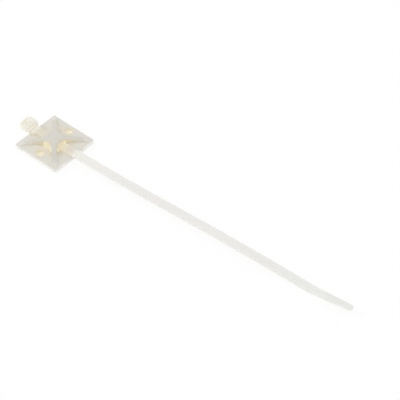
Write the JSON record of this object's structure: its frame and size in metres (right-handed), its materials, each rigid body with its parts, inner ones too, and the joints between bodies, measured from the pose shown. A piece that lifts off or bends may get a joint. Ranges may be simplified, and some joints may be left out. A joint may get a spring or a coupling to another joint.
{
  "type": "cable tie with mount",
  "caption": "Self-adhesive square mount with crossing tunnels under a star-shaped bridge, and a cable tie with a ratchet head threaded through it.",
  "frame": {"origin": "centre of the mount's underside, on the surface that it is stuck to", "axes": "+Z away from that surface, +X along the tunnel that holds the tie, towards the tie's tail, +Y across the tie"},
  "size_m": [0.1414, 0.0202, 0.0053],
  "materials": {
    "mount_nylon": "natural moulded nylon, beige and slightly see-through",
    "tie_nylon": "natural moulded nylon, off-white and see-through",
    "foam": "closed-cell foam with a yellowish adhesive film",
    "liner": "thin silicone-coated release paper"
  },
  "bodies": {
    "root": {"mount_base": "mount_nylon", "adhesive_pad": "foam", "release_liner": "liner", "cable_tie": "tie_nylon"}
  },
  "joints": []
}
